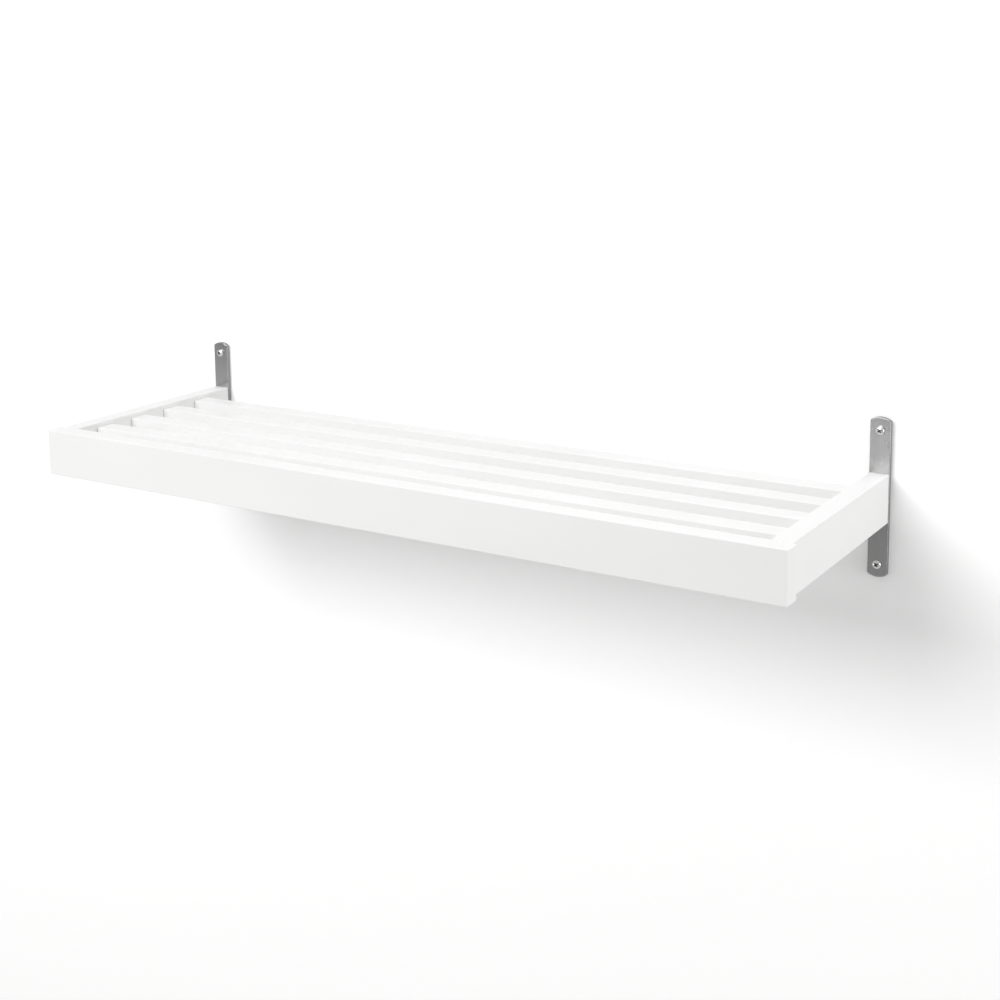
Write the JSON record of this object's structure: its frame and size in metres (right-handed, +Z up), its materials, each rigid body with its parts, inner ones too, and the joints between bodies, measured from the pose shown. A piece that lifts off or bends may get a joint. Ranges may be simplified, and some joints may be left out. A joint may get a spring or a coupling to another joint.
{
  "type": "wall shoe rack",
  "caption": "Slatted shelf of white painted wood for shoes, open at the back, carried on a wall by upright steel flat bars with rounded ends at its rear corners.",
  "frame": {"origin": "on the wall's surface, midway between the brackets and at their mid-height, which is the mid-height of the side rails", "axes": "+X along the front rail, to the right of someone facing the wall; +Y into the wall; +Z up"},
  "size_m": [0.8, 0.2897, 0.148],
  "materials": {
    "white_paint": "satin white paint on wood",
    "satin_steel": "satin steel flat bar, ground lengthwise",
    "bright_steel": "bright zinc plated",
    "beech": "bare beech"
  },
  "bodies": {
    "root": {"front_rail": "white_paint", "side_rail_left": "white_paint", "side_rail_right": "white_paint", "slat_1": "white_paint", "slat_2": "white_paint", "slat_3": "white_paint", "slat_4": "white_paint", "wall_bracket_left": "satin_steel", "wall_bracket_right": "satin_steel", "wall_screw_left_upper": "bright_steel", "wall_screw_left_lower": "bright_steel", "wall_screw_right_upper": "bright_steel", "wall_screw_right_lower": "bright_steel", "rail_screw_left_upper": "bright_steel", "rail_screw_left_lower": "bright_steel", "rail_screw_right_upper": "bright_steel", "rail_screw_right_lower": "bright_steel", "corner_dowel_left_upper": "beech", "corner_dowel_left_lower": "beech", "corner_dowel_right_upper": "beech", "corner_dowel_right_lower": "beech", "slat_dowel_1_left": "beech", "slat_dowel_1_right": "beech", "slat_dowel_2_left": "beech", "slat_dowel_2_right": "beech", "slat_dowel_3_left": "beech", "slat_dowel_3_right": "beech", "slat_dowel_4_left": "beech", "slat_dowel_4_right": "beech"}
  },
  "joints": []
}
